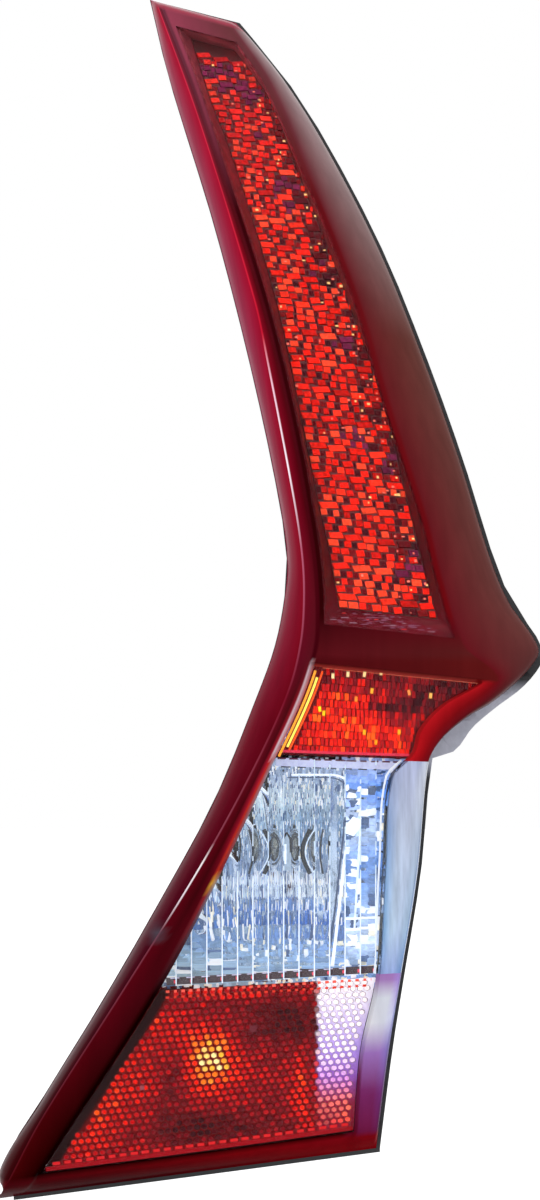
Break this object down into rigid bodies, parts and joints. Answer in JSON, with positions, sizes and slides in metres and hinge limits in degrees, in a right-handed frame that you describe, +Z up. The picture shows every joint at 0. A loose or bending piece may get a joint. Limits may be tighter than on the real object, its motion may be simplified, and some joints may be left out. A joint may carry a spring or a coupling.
{
  "type": "vehicle tail lamp",
  "caption": "Right-hand pillar tail lamp with a long red arm, a fluted clear window set between red ones, a moulded housing, a bulb carrier and mounting studs.",
  "frame": {"origin": "centre of the seat face of the main stud, at the shoulder", "axes": "+Y out of the seat along the studs, into the car body; +Z up the lamp; +X to the right as seen from behind the car"},
  "size_m": [0.3351, 0.1861, 0.7526],
  "materials": {
    "housing": "moulded, finely grained",
    "lens_red": "polished clear red",
    "lens_clear": "polished clear",
    "bezel": "polished dark red",
    "reflex": "bright red optics",
    "board": "lacquered board",
    "led": "white package",
    "black_parts": "black packages",
    "steel": "zinc plated",
    "lead": "insulated wire",
    "black_plastic": "moulded",
    "contact": "stamped",
    "reflector": "vacuum metallised",
    "carrier": "moulded",
    "seal": "closed-cell foam and rubber",
    "stud": "zinc plated",
    "bulb_glass": "clear",
    "bulb_base": "nickelled brass",
    "filament": "drawn wire"
  },
  "bodies": {
    "root": {"housing": "housing", "lens_red": "lens_red", "lens_clear": "lens_clear", "arm_bezel": "bezel", "reflex_panel": "reflex", "led_board": "board", "leds": "led", "board_parts": "black_parts", "board_screws": "steel", "board_leads": "lead", "arm_socket": "black_plastic", "arm_pins": "contact", "mid_reflector": "reflector", "reverse_reflector": "reflector", "lower_reflector": "reflector", "reflector_screws": "steel", "mid_bulb_glass": "bulb_glass", "mid_bulb_base": "bulb_base", "mid_bulb_filament": "filament", "reverse_bulb_glass": "bulb_glass", "reverse_bulb_base": "bulb_base", "reverse_bulb_filament": "filament", "lower_bulb_glass": "bulb_glass", "lower_bulb_base": "bulb_base", "lower_bulb_filament": "filament", "bulb_contacts": "contact", "bulb_carrier": "carrier", "carrier_seal": "seal", "conductor_tracks": "contact", "connector_pins": "contact", "main_stud": "stud", "upper_stud": "stud", "lower_stud": "stud", "stud_seals": "seal", "perimeter_seal": "seal", "breather_caps": "seal"}
  },
  "joints": []
}
